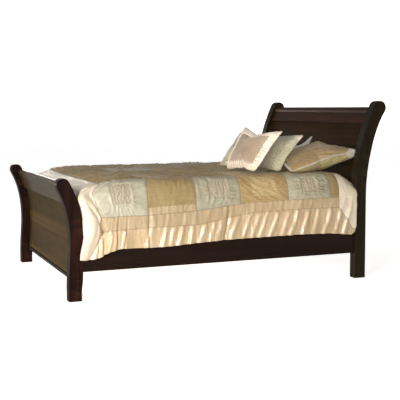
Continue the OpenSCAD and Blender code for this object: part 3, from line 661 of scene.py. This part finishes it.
def comforter():
    step = 0.0065
    mitre_cells = 20
    col_keys = set(COLS) | centre_edges(COLS[1:7])
    col_keys |= set(np.linspace(COLS[7], COLS[8], mitre_cells + 1)[1:-1])
    cols = np.concatenate([-fill([0.0, FLAP], step * 1.5)[::-1][:-1], fill(sorted(col_keys), 1.25 * step)])
    seams = [BAND, HANG, HANG + SQUARE, HALF]
    half_keys = {0.0, BORDER, STRIP, *seams} | centre_edges(seams)
    half_keys |= set(np.linspace(0, BORDER, mitre_cells + 1)[1:-1])
    right = fill(sorted(half_keys), 1.25 * step)
    rows = np.concatenate([right, 2 * HALF - right[::-1][1:]])
    a_full, c = np.meshgrid(rows, cols, indexing="ij")
    side = np.where(a_full <= HALF, 1.0, -1.0)
    a = np.where(side > 0, a_full, 2 * HALF - a_full)
    left = (side < 0).astype(float)

    # the plain draped surface
    line, run = curve_through(PROFILE)
    run = run * HALF / run[-1]
    x0 = np.interp(a, run, line[:, 0])
    z0 = np.interp(a, run, line[:, 1])
    shoulder_z = float(np.interp(SHOULDER, run, line[:, 1]))
    cc = np.maximum(c, 0)
    fall = np.interp(cc, *FOOT_FALL) + np.interp(SPAN - cc, *HEAD_FALL)
    wander = left * 0.012 * noise(c * 2.1, 0.5, 7)
    levels = [np.interp(c, *curve) + wander for curve in (HEM_LINE, BORDER_LINE, BAND_LINE)]
    levels.append(shoulder_z - fall)
    z = z0 - fall
    marks = [0.0, BORDER, BAND, SHOULDER]
    for k in range(3):
        inside = (a >= marks[k]) & (a < marks[k + 1])
        share = (a - marks[k]) / (marks[k + 1] - marks[k])
        z = np.where(inside, levels[k] * (1 - share) + levels[k + 1] * share, z)
    hang = 1 - smooth(x0, *TOP_EDGE)                        # 1 on top, 0 on the hanging side
    down = 1 - hang
    # on top, the cloth follows the fall of the mattress's foot end and then drops behind the footboard
    pulled = c + TOP_SHIFT * (1 - smooth(c, 0.0, 0.75))
    path, along = curve_through(FLAP_PATH)
    at = FLAP_START - pulled
    y_top = np.where(at > 0, np.interp(at, along, path[:, 0]), pulled)
    z_top = np.where(at > 0, z0 + np.interp(at, along, path[:, 1]), z)
    y_side = c - np.interp(z, *POST_EDGE) * np.exp(-cc / 0.045)
    y_side -= 0.030 * (1 - smooth(z, 0.31, 0.45)) * np.exp(-cc / 0.03)
    y_side += np.interp(z, *SLANT) * (cc / 0.08) * np.exp(1 - cc / 0.08)
    y_side = np.minimum(y_side, SPAN - 0.004)
    y = FOOT_Y + hang * y_top + down * y_side
    z = hang * z_top + down * z
    x = x0 + 0.007 * (1 - smooth(c, 0.0, 0.05)) * (1 - smooth(z, 0.40, 0.5))
    base = np.stack([side * x, y, z], -1)

    # big folds: both faces of the cloth follow them
    big = BIG_WAVES * noise(c * 2.6 + 40 * left, z * 1.6, 3) * (1 - smooth(z, 0.62, 0.75))
    gather = np.full(a.shape, -0.3)
    for k, at in enumerate(FOLDS):
        middle = at + np.interp(at, *FOLD_LEAN) * (z - 0.43)
        middle = middle + 0.010 * noise(z * 7, at * 31, 5) - 0.01 * left
        width = np.where(c < middle, 0.0105, 0.021) * (1 + 0.3 * noise(k * 1.7, 0.4, 6))
        width = width * (1.25 - 0.35 * smooth(a, 0.0, BORDER))
        gather += (0.9 + 0.5 * noise(k * 2.3, 0.8, 6)) * bell(c, middle, width)
    gather *= smooth(c, 0.08, 0.13)
    big += GATHER * gather * (1 - smooth(a, BORDER * 0.78, BORDER * 1.02))
    big += GATHER_ABOVE * gather * ((a >= BORDER * 0.9) & (a < BAND))
    for fold in SIDE_FOLDS:
        big += side_fold(c, z, *fold)
    big += (0.009 * bell(c, 0.20, 0.10) - 0.007 * bell(c, 0.38, 0.06)) * (1 - smooth(z, 0.42, 0.56))
    n_base = normals(base)
    folded = base + n_base * (big * down)[..., None]

    # what only the face shows: each square puffs up between its seams, and the seams pucker
    across = seam_distance(c, COLS[1:8])
    across = np.where(a < BAND, seam_distance(c, [COLS[1], 0.450, 1.030, COLS[7]]), across)
    mitre = np.abs(past_mitre(c, a)) * 0.095
    across = np.where((a < BORDER) & (c > 1.40), np.where(c >= COLS[7], mitre, 1.0), across)
    lengthwise = seam_distance(a, [BORDER, BAND, HANG, HANG + SQUARE, HALF])
    lengthwise = np.where((c < COLS[1] - 1e-6) | (c > COLS[7] + 1e-6), 1.0, lengthwise)
    seam = np.minimum(across, lengthwise)
    plump = np.minimum(seam / 0.075, 1.0)
    face = PUFF * np.sin(plump * math.pi / 2) ** 0.9 * np.where(a < BAND, 0.35, 1.0)
    face -= SEAM_DEPTH * bell(seam, 0.0, 0.0045)
    face += 0.0040 * noise(c * 42, a * 9, 11) * np.exp(-lengthwise / 0.030)
    face += 0.0036 * noise(c * 9, a * 42, 12) * np.exp(-across / 0.030)
    face += 0.0030 * noise(c * 34, a * 6, 13) * ((a > BORDER) & (a < BAND))
    face += 0.0055 * noise(c * 50, a * 4, 14) * ((a >= BAND) & (a < STRIP) & (c > COLS[2]) & (c < COLS[3]))
    for letter, r, k, inside, u, v, core in squares(c, a_full):
        angle = float(2.4 * noise(r * 3.7 + 0.3, k * 2.9 + 0.7, 21))
        relief = creases(c + r, a_full, angle, 0.16, 0.045, 30 + 7 * r + k)
        relief = (0.0085 + 0.0065 * hang) * relief * np.minimum(seam / 0.03, 1)
        if letter == "S":
            relief += ruched_relief(u, v, core - RUCHE, r)
            if k == 0 and r in (0, 5):
                relief += tucks(u, a)
        if letter == "B":
            relief += brocade_relief(core, u, v)
        face += inside * relief
    cuff = 1 - smooth(a, 0.0, 0.012)
    outer = folded + n_base * face[..., None]
    thick = THICKER_ON_TOP * hang * smooth(c, -0.02, 0.06) + THICK
    thick = thick * (1 - 0.5 * cuff) * (1 - 0.35 * (c < 0))
    inner = folded - normals(folded) * thick[..., None]

    # which grid cells are cloth: behind the footboard it is only as wide as the mattress
    rows_n, cols_n = a.shape
    first = int(np.argmin(np.abs(cols)))
    wide = x0[:, 0] > FLAP_HALF
    mask = np.ones((rows_n - 1, cols_n - 1), bool)
    mask[np.ix_(np.where(wide[:-1] | wide[1:])[0], np.arange(first))] = False

    used = np.zeros((rows_n, cols_n), bool)
    for di in (0, 1):
        for dj in (0, 1):
            used[di:rows_n - 1 + di, dj:cols_n - 1 + dj] |= mask
    total = int(used.sum())
    index = np.zeros((rows_n, cols_n), int)
    index[used] = np.arange(total)
    i, j = np.where(mask)
    quads = np.stack([index[i, j], index[i, j + 1], index[i + 1, j + 1], index[i + 1, j]], 1)

    am = (a_full[i, j] + a_full[i + 1, j]) / 2
    cm = (c[i, j] + c[i, j + 1]) / 2
    ah = np.minimum(am, 2 * HALF - am)
    slots = np.full(len(am), CREAM)
    slots[(ah < BORDER) & (cm > COLS[1])] = SATIN
    slots[(ah >= BORDER) & (ah < BAND) & (cm > COLS[1])] = DUSTY
    over = past_mitre(cm, ah)
    slots[(cm > COLS[7]) & ~((ah < BORDER) & (over < -1e-6))] = CREAM
    slots[(cm > COLS[6]) & (cm < COLS[7]) & (ah >= BAND)] = GOLD
    for letter, r, k, inside, _, _, core in squares(cm, am):
        # sage squares from the third column on get the darker copy: painted shade towards the head
        slots[inside] = SAGE_PAINTED_SHADE if letter == "S" and k >= 2 else LETTERS[letter]
        if letter == "S":
            slots[inside & (core < RUCHE)] = RUCHED
        if letter == "B":
            slots[inside & (core < FIGURE)] = BROCADE
        if letter == "G" and r in (0, 5):
            slots[inside & (ah < STRIP)] = DUSTY

    faces = [tuple(q) for q in quads[:, ::-1].tolist()]
    # a quad on the mitre is cut along it: its corner below the mitre belongs to the gathered border
    corner = np.where((ah < BORDER) & (cm > COLS[7]) & (np.abs(over) < 1e-6))[0]
    cut = []
    for k in corner:
        p, q, r, t = quads[k].tolist()
        low = (p, q, t) if am[k] < HALF else (p, r, t)
        top = (q, r, t) if am[k] < HALF else (p, q, r)
        faces[k] = top[::-1]
        cut.append(low[::-1])
    faces += cut + [tuple(q) for q in (quads + total).tolist()]
    all_slots = list(slots) + [SATIN] * len(cut) + [LINING] * len(quads)
    # close the edge all round
    edges = {}
    for q in quads[:, ::-1].tolist():
        for k in range(4):
            start, end = q[k], q[(k + 1) % 4]
            if edges.pop((end, start), None) is None:
                edges[(start, end)] = True
    for p, q in edges:
        faces.append((q, p, p + total, q + total))
        all_slots.append(CREAM)
    verts = np.vstack([outer[used], inner[used]])
    obj = new_object("comforter_patchwork", verts, faces, CLOTHS, all_slots)
    flat = np.stack([c[used], a_full[used], np.zeros(total)], 1)
    # the painted seam shade, stored in the seam attribute for the cloth's colour
    line = 1 - np.clip(seam[used] / SEAM_SHADE, 0, 1)
    flat_map(obj.data, np.vstack([flat, flat]), np.concatenate([line, 0 * line]))
    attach(obj, "comforter")
    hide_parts("comforter")
    return obj, (cols[-1] - cols[0], 2 * HALF)


quilt, quilt_flat = comforter()


# ---------------------------------------------------------------- mattress and box spring

def rounded_case(name, low, high, radius, step, shape=None):
    """A padded box with round edges, with its faces cut into a grid. shape(p, n) moves the points."""
    low, high = np.array(low), np.array(high)
    ticks = [fill([low[k], low[k] + radius, high[k] - radius, high[k]], step if k < 2 else step * 0.8)
             for k in range(3)]
    index, verts, faces = {}, [], []

    def vertex(i, j, k):
        if (i, j, k) not in index:
            index[(i, j, k)] = len(verts)
            verts.append((ticks[0][i], ticks[1][j], ticks[2][k]))
        return index[(i, j, k)]

    sizes = [len(t) for t in ticks]
    for axis in range(3):
        u, v = (axis + 1) % 3, (axis + 2) % 3
        for end in (0, sizes[axis] - 1):
            for p in range(sizes[u] - 1):
                for q in range(sizes[v] - 1):
                    corners = []
                    for du, dv in ((0, 0), (1, 0), (1, 1), (0, 1)):
                        ijk = [0, 0, 0]
                        ijk[axis], ijk[u], ijk[v] = end, p + du, q + dv
                        corners.append(vertex(*ijk))
                    faces.append(tuple(corners if end else corners[::-1]))
    p = np.array(verts)
    core = np.clip(p, low + radius, high - radius)
    out = p - core
    size = np.linalg.norm(out, axis=1)[:, None]
    out = out / np.maximum(size, 1e-9)
    p = core + out * radius
    if shape:
        p = shape(p, out)
    obj = new_object(name, p, faces, [ticking])
    flat_map(obj.data, p)
    return obj


def outline(low, high, radius, z, inset, steps=10):
    """A rounded rectangle in plan, as points."""
    pts = []
    for cx, cy, start in ((1, 1, 0), (-1, 1, 90), (-1, -1, 180), (1, -1, 270)):
        mx = (high[0] - radius) if cx > 0 else (low[0] + radius)
        my = (high[1] - radius) if cy > 0 else (low[1] + radius)
        for k in range(steps + 1):
            t = math.radians(start + 90 * k / steps)
            pts.append((mx + (radius - inset) * math.cos(t), my + (radius - inset) * math.sin(t), z))
    dense = []
    for p, q in zip(pts, pts[1:] + pts[:1]):
        n = max(1, int(math.dist(p, q) / 0.05))
        for k in range(n):
            dense.append([p[i] + (q[i] - p[i]) * k / n for i in range(3)])
    return np.array(dense)


UNDER_QUILT = 0.014         # how much lower the mattress's top lies than its CAD solid, for the comforter
MATTRESS_EDGE, BASE_EDGE = 0.045, 0.028


def end_fall(y):
    return np.interp(y - FOOT_Y, *FOOT_FALL) + np.interp(HEAD_Y - y, *HEAD_FALL)


def mattress_shape(p, n):
    x, y = p[:, 0], p[:, 1]
    top, bottom = smooth(n[:, 2], 0.5, 0.95), smooth(-n[:, 2], 0.5, 0.95)
    height = (p[:, 2] - MAT_LO.z) / (MAT_HI.z - MAT_LO.z)
    diamonds = np.abs(np.sin(math.pi * (x + y) / 0.17) * np.sin(math.pi * (x - y) / 0.17)) ** 0.5
    p = p.copy()
    p[:, 2] -= (end_fall(y) + UNDER_QUILT) * smooth(height, 0.55, 1.0)
    p[:, 2] -= 0.010 * (1 - diamonds) * top - 0.004 * (1 - diamonds) * bottom
    sides = 1 - np.maximum(top, bottom)
    run = np.where(np.abs(n[:, 0]) > np.abs(n[:, 1]), y, x)
    rib = np.abs(np.sin(math.pi * run / 0.09))
    p[:, :2] -= n[:, :2] * (0.006 * (1 - rib ** 0.4) * sides)[:, None]
    return p


def box_shape(p, n):
    p = p.copy()
    sides = 1 - smooth(np.abs(n[:, 2]), 0.5, 0.95)
    ripple = noise(p[:, 0] * 9 + p[:, 1] * 9, p[:, 2] * 6, 60)
    p[:, :2] -= n[:, :2] * (sides * (0.003 + 0.002 * ripple))[:, None]
    return p


grid = 0.016
mattress = rounded_case("mattress_padded", MAT_LO, MAT_HI, MATTRESS_EDGE, grid, mattress_shape)
box_spring = rounded_case("box_spring_covered", BASE_LO, BASE_HI, BASE_EDGE, grid * 1.5, box_shape)
for piece, body, edge, lo, hi in ((mattress, "mattress", MATTRESS_EDGE, MAT_LO, MAT_HI),
                                  (box_spring, "box_spring", BASE_EDGE, BASE_LO, BASE_HI)):
    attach(piece, body)
    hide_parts(body)
    for level, z in (("top", hi.z - edge * 0.32), ("bottom", lo.z + edge * 0.32)):
        line = outline(lo, hi, edge, z, edge * 0.04)
        if level == "top" and body == "mattress":
            line[:, 2] -= end_fall(line[:, 1]) + UNDER_QUILT
        cord = tube(f"{body}_piping_{level}", line, 0.0038, piping_cloth)
        flat_map(cord.data, read(cord.data.vertices, "co"))
        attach(cord, body)


# ---------------------------------------------------------------- pillows

BAG_RISE = 0.030            # half the height of a pillow's bag before it is blown up
SEAM_HALF = 0.0022          # half the thickness of the flange round a pillow
SEEN_FROM_BEHIND = [0, 3, 2, 1]


def inflate(obj):
    """Blows a sewn cloth bag up with Blender's cloth and returns its points."""
    cloth_mod = obj.modifiers.new("cloth", "CLOTH")
    s = cloth_mod.settings
    s.quality = 6
    s.mass = 0.25
    s.tension_stiffness = s.compression_stiffness = 15.0
    s.shear_stiffness = 5.0
    s.bending_stiffness = 0.6
    s.use_pressure = True
    s.uniform_pressure_force = 7.0
    s.effector_weights.gravity = 0
    cloth_mod.collision_settings.use_collision = False
    frames = 22
    cloth_mod.point_cache.frame_start, cloth_mod.point_cache.frame_end = 1, frames
    scene = bpy.context.scene
    for f in range(1, frames + 1):
        scene.frame_set(f)
    graph = bpy.context.evaluated_depsgraph_get()
    co = read(obj.evaluated_get(graph).to_mesh().vertices, "co")
    obj.evaluated_get(graph).to_mesh_clear()
    obj.modifiers.remove(cloth_mod)
    scene.frame_set(1)
    return co


def cells(grid):
    """The quads of a grid of vertex numbers, seen from the front."""
    return np.stack([grid[:-1, :-1], grid[1:, :-1], grid[1:, 1:], grid[:-1, 1:]], -1).reshape(-1, 4)


def pillow(body, width, length, up, down, place, materials, face, corners, seed,
           slot_of=lambda u, v, front: 0, step=0.009, flange=0.010, pinch=0.4,
           full=0.8, sharp=2.0):
    """A sewn pillow. place is (x, y, z, lean, turn, roll) as in the CAD: millimetres from the head posts'
    front faces and the comforter's top, and degrees. slot_of(u, v, front) gives a face's material and
    face(u, v, front) how far the finished face stands out; u and v are metres from the middle. corners
    says how far the corners' ears are drawn out, from the lower left one round to the upper left one.
    sharp is how pointed they are, pinch how much the sides draw in, and a lower full makes the pillow
    rounder by its seam."""
    w, l = width - 2 * flange, length - 2 * flange
    nu, nv = int(round(w / step)), int(round(l / step))
    us, vs = np.linspace(-w / 2, w / 2, nu + 1), np.linspace(-l / 2, l / 2, nv + 1)
    u, v = np.meshgrid(us, vs, indexing="ij")
    dome = (np.maximum(1 - (2 * u / w) ** 4, 0) * np.maximum(1 - (2 * v / l) ** 4, 0)) ** 0.5
    rim = np.ones(u.shape, bool)
    rim[1:-1, 1:-1] = False
    size = u.size
    front = np.arange(size).reshape(u.shape)
    back = front.copy()
    back[~rim] = size + np.arange((~rim).sum())
    top = np.stack([u, v, BAG_RISE * dome], -1).reshape(-1, 3)
    low = np.stack([u, v, -BAG_RISE * dome], -1)[~rim]
    verts = np.vstack([top, low])
    bag = new_object(f"{body}_sewn_bag", verts,
                     np.vstack([cells(front), cells(back)[:, SEEN_FROM_BEHIND]]).tolist(), [])
    co = inflate(bag)
    bpy.data.objects.remove(bag)
    ends = [front[0, 0], front[-1, 0], front[-1, -1], front[0, -1]]
    co -= co[ends].mean(0)
    co[:, :2] *= [w, l] / (np.abs(co[ends, :2]).mean(0) * 2)
    co[:, :2] += (verts[:, :2] - co[:, :2]) * (1 - pinch)
    z = co[:, 2].copy()
    co[:, 2] = np.where(z > 0, up * (np.maximum(z, 0) / z.max()) ** full,
                        -down * (np.maximum(-z, 0) / -z.min()) ** full)
    for signs, pull in zip(((-1, -1), (1, -1), (1, 1), (-1, 1)), corners):
        near = np.clip(co[:, :2] * signs * 2 / [w, l], 0, 1.1).prod(1, keepdims=True)
        co = co + near ** sharp * pull

    # open the seam by the flange's thickness, and run the flange round it
    p_front = co[:size].reshape(nu + 1, nv + 1, 3).copy()
    p_back = co[back].copy()
    p_front[rim, 2] += SEAM_HALF
    p_back[rim, 2] -= SEAM_HALF
    loop = ([(i, 0) for i in range(nu)] + [(nu, j) for j in range(nv)]
            + [(i, nv) for i in range(nu, 0, -1)] + [(0, j) for j in range(nv, 0, -1)])
    li, lj = np.array(loop).T
    seam = co[front[li, lj]]
    tangent = np.roll(seam, -1, 0) - np.roll(seam, 1, 0)
    outward = np.cross(tangent, [0, 0, 1.0])
    outward /= np.linalg.norm(outward, axis=1)[:, None] + 1e-9
    n_loop = len(loop)
    run = np.cumsum(np.linalg.norm(tangent, axis=1) / 2)
    frill = noise(run * 26, 0.5, 70 + seed) * 0.003
    tip = seam + outward * flange
    tip[:, 2] += frill
    tip_half = np.array([0, 0, SEAM_HALF * 0.7])
    verts = np.vstack([p_front.reshape(-1, 3), p_back.reshape(-1, 3), tip + tip_half, tip - tip_half])
    flat_edge = np.stack([u[li, lj], v[li, lj], np.zeros(n_loop)], 1)
    flat_out = flat_edge + np.sign(flat_edge) * flange * (np.abs(flat_edge) > np.array([w, l, 9]) * 0.499)
    flat = np.vstack([np.stack([u, v, 0 * u], -1).reshape(-1, 3)] * 2 + [flat_out] * 2)
    f_id, b_id = front, front + size
    t_id, s_id = 2 * size + np.arange(n_loop), 2 * size + n_loop + np.arange(n_loop)
    faces = np.stack([cells(f_id), cells(b_id)[:, SEEN_FROM_BEHIND]], 1).reshape(-1, 4).tolist()
    slots = [slot_of(uc, vc, side) for uc in (us[:-1] + us[1:]) / 2 for vc in (vs[:-1] + vs[1:]) / 2
             for side in (True, False)]
    for k in range(n_loop):
        m = (k + 1) % n_loop
        a, b = (li[k], lj[k]), (li[m], lj[m])
        faces += [(f_id[a], t_id[k], t_id[m], f_id[b]), (t_id[k], s_id[k], s_id[m], t_id[m]),
                  (s_id[k], b_id[a], b_id[b], s_id[m])]
        slots += [slot_of(*flat_out[k][:2], side) for side in (True, True, False)]
    obj = new_object(f"{body}_sewn", verts, [tuple(int(i) for i in f) for f in faces], materials, slots)
    flat_map(obj.data, flat)
    sub = obj.modifiers.new("sub", "SUBSURF")
    sub.levels = sub.render_levels = 1
    graph = bpy.context.evaluated_depsgraph_get()
    fine = bpy.data.meshes.new_from_object(obj.evaluated_get(graph))
    obj.modifiers.remove(sub)
    obj.data = fine
    fine.polygons.foreach_set("use_smooth", [True] * len(fine.polygons))
    co, normal = read(fine.vertices, "co"), read(fine.vertices, "normal")
    at_u, at_v, _ = read(fine.attributes["flat_cloth"].data, "vector").T
    inner = smooth(np.minimum(w / 2 - np.abs(at_u), l / 2 - np.abs(at_v)), 0.0, 0.006)
    co += normal * (face(at_u, at_v, normal[:, 2] > 0) * inner)[:, None]
    fine.vertices.foreach_set("co", co.ravel())
    fine.update()
    x, y, z, lean, turn, roll = place
    obj.data.transform(
        Matrix.Translation((x / 1000, HEAD_Y + y / 1000, QUILT_HI.z + z / 1000))
        @ Matrix.Rotation(math.radians(turn), 4, "Z") @ Matrix.Rotation(math.radians(roll), 4, "Y")
        @ Matrix.Rotation(math.radians(lean), 4, "X"))
    rest = QUILT_HI.z + 0.0015
    for vertex in obj.data.vertices:
        if vertex.co.z < rest:
            vertex.co.z = rest + 0.02 * (vertex.co.z - rest)
    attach(obj, body)
    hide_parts(body)


THROW_U, THROW_V, THROW_BORDER = 0.225, 0.175, 0.058


def throw_slots(u, v, front):
    edge = min(THROW_U - abs(u), THROW_V - abs(v))
    return 0 if front and edge >= THROW_BORDER else 1


def throw_face(u, v, front):
    du, dv = THROW_U - np.abs(u), THROW_V - np.abs(v)
    edge = np.minimum(du, dv)
    band = smooth(-edge, -THROW_BORDER - 0.002, -THROW_BORDER + 0.006)
    run = np.where(du < dv, v, u)
    pleats = np.abs(np.sin(math.pi * run / 0.028 + 0.8 * noise(run * 30, edge * 20, 81))) ** 0.8
    seam = bell(edge, THROW_BORDER, 0.004)
    return np.where(front, band * 0.008 * pleats - 0.003 * seam, 0.0015 * noise(u * 20, v * 20, 82))


def sham_slots(u, v, front):
    """A cream corner at the upper right."""
    return 1 if u / 0.37 + v / 0.175 > 1.66 else 0


def sham_face(u, v, front):
    return 0.0022 * noise(u * 60, v * 85, 83) + 0.0012 * noise(u * 130, v * 160, 84)


def side_slots(u, v, front):
    edge = min(0.245 - abs(u), 0.270 - abs(v))
    return 2 if edge < 0.013 or u + v > 0.41 else (0 if front else 1)


def side_face(u, v, front):
    soft = creases(u, v, 1.2, 0.22, 0.05, 85)
    ring = np.hypot(u - 0.03, v + 0.12)
    return 0.010 * soft + 0.006 * bell(ring, 0.026, 0.007) * front


def back_face(u, v, front):
    return 0.006 * creases(u, v, 0.3, 0.2, 0.05, 86)


UNDRAWN = (0, 0, 0)
pillow("pillow_back", 0.520, 0.215, 0.052, 0.044, (-40, -119, 91, 50, 0, 0), [pearl], back_face,
       [UNDRAWN, UNDRAWN, (-0.050, 0.112, 0), (0, -0.05, 0)], seed=1, pinch=0.8, sharp=4.0, flange=0.018)
pillow("pillow_side", 0.490, 0.540, 0.050, 0.125, (505, -232, 112, 14, 3, 5),
       [gold_satin, sage_plain, pearl], side_face,
       [(0.02, 0.06, 0.07), (0, -0.011, -0.008), (0.055, 0.032, -0.014), UNDRAWN],
       seed=2, slot_of=side_slots, flange=0.014, full=0.55)
pillow("pillow_sham", 0.740, 0.350, 0.076, 0.030, (312, -542, 140, 49, 14, 0), [sage_crinkle, cream],
       sham_face, [(0.015, 0.012, 0), UNDRAWN, (0.010, -0.004, 0), UNDRAWN],
       seed=3, slot_of=sham_slots)
pillow("pillow_throw", 0.450, 0.350, 0.066, 0.042, (545, -722, 152, 56, 8, 0), [champagne, pleat_cream],
       throw_face, [(0.040, 0.012, 0), (-0.035, 0.016, 0), (0.036, 0.010, 0), (-0.030, 0.034, 0)],
       seed=4, slot_of=throw_slots, step=0.008)


# ---------------------------------------------------------------- camera, light and floor

camera_data = bpy.data.cameras.new("camera")
camera_data.lens = 78.81
camera_data.sensor_width = 36
camera_data.clip_end = 100
camera = bpy.data.objects.new("camera", camera_data)
camera.location = (6.3352, -2.4955, 1.2551)
camera.rotation_euler = Euler((math.radians(90 - 5.9453), 0, math.radians(67.7513)))
bpy.context.scene.collection.objects.link(camera)
bpy.context.scene.camera = camera


def area_light(name, place, target, size, power, colour=(1, 1, 1), spread=180):
    data = bpy.data.lights.new(name, "AREA")
    data.shape = "RECTANGLE"
    data.size, data.size_y = size
    data.energy = power
    data.color = colour
    data.spread = math.radians(spread)
    lamp = bpy.data.objects.new(name, data)
    lamp.location = place
    lamp.rotation_euler = (Vector(target) - Vector(place)).to_track_quat("-Z", "Y").to_euler()
    bpy.context.scene.collection.objects.link(lamp)


area_light("key_foot", (4.2, -3.6, 1.5), (0.85, -1.2, 0.45), (1.2, 1.2), 46, (1.0, 0.97, 0.93), 78)
area_light("pillow_spot", (5.0, -1.75, 1.7), (0.42, HEAD_Y - 0.50, QUILT_HI.z + 0.10), (0.3, 0.3), 1.1,
           (1.0, 0.97, 0.92), 15)
area_light("rim_far", (-4.2, -4.4, 0.8), (0.0, -1.2, 0.5), (2.2, 0.9), 60, (1.0, 0.90, 0.74))
area_light("strip_far", (-4.5, 0.2, 1.15), (0.0, -1.2, 0.8), (2.5, 0.4), 45, (1.0, 0.95, 0.88))
area_light("fill_front", (3.4, -3.0, 3.8), (0.3, 0.3, 0.8), (2.4, 2.4), 36)

world = bpy.data.worlds.new("studio")
world.use_nodes = True
background = world.node_tree.nodes["Background"].inputs
background["Color"].default_value = WHITE
background["Strength"].default_value = 0.25
bpy.context.scene.world = world
bpy.context.scene.view_settings.view_transform = "Standard"


def stage_material(name, glow):
    """Plain pale paint that glows a little, so that the studio's floor and wall look even."""
    n = Nodes(name)
    shade = n.mix(n.span(n.noise(n.object_coords(), 0.7, 3), 0.0, 0.5), (0.93, 0.93, 0.93, 1),
                  (0.91, 0.91, 0.91, 1))
    return n.finish(Base_Color=shade, Roughness=0.9, Specular_IOR_Level=0.0, Emission_Color=WHITE,
                    Emission_Strength=glow)


reach = 30.0                # half the width of the floor
square = [(x * reach, y * reach, 0) for x, y in ((-1, -1), (1, -1), (1, 1), (-1, 1))]
floor = new_object("floor", square, [(0, 1, 2, 3)], [stage_material("floor_pale", 0.76)])
turns = [math.radians(10 * k) for k in range(36)]
ring = [(0.8 * reach * math.cos(t), 0.8 * reach * math.sin(t)) for t in turns]
backdrop = new_object("backdrop", [(x, y, -0.1) for x, y in ring] + [(x, y, 20.0) for x, y in ring],
                      [(k, k + 36, (k + 1) % 36 + 36, (k + 1) % 36) for k in range(36)],
                      [stage_material("backdrop_pale", 1.0)])
floor.visible_glossy = backdrop.visible_glossy = False
backdrop.visible_diffuse = False
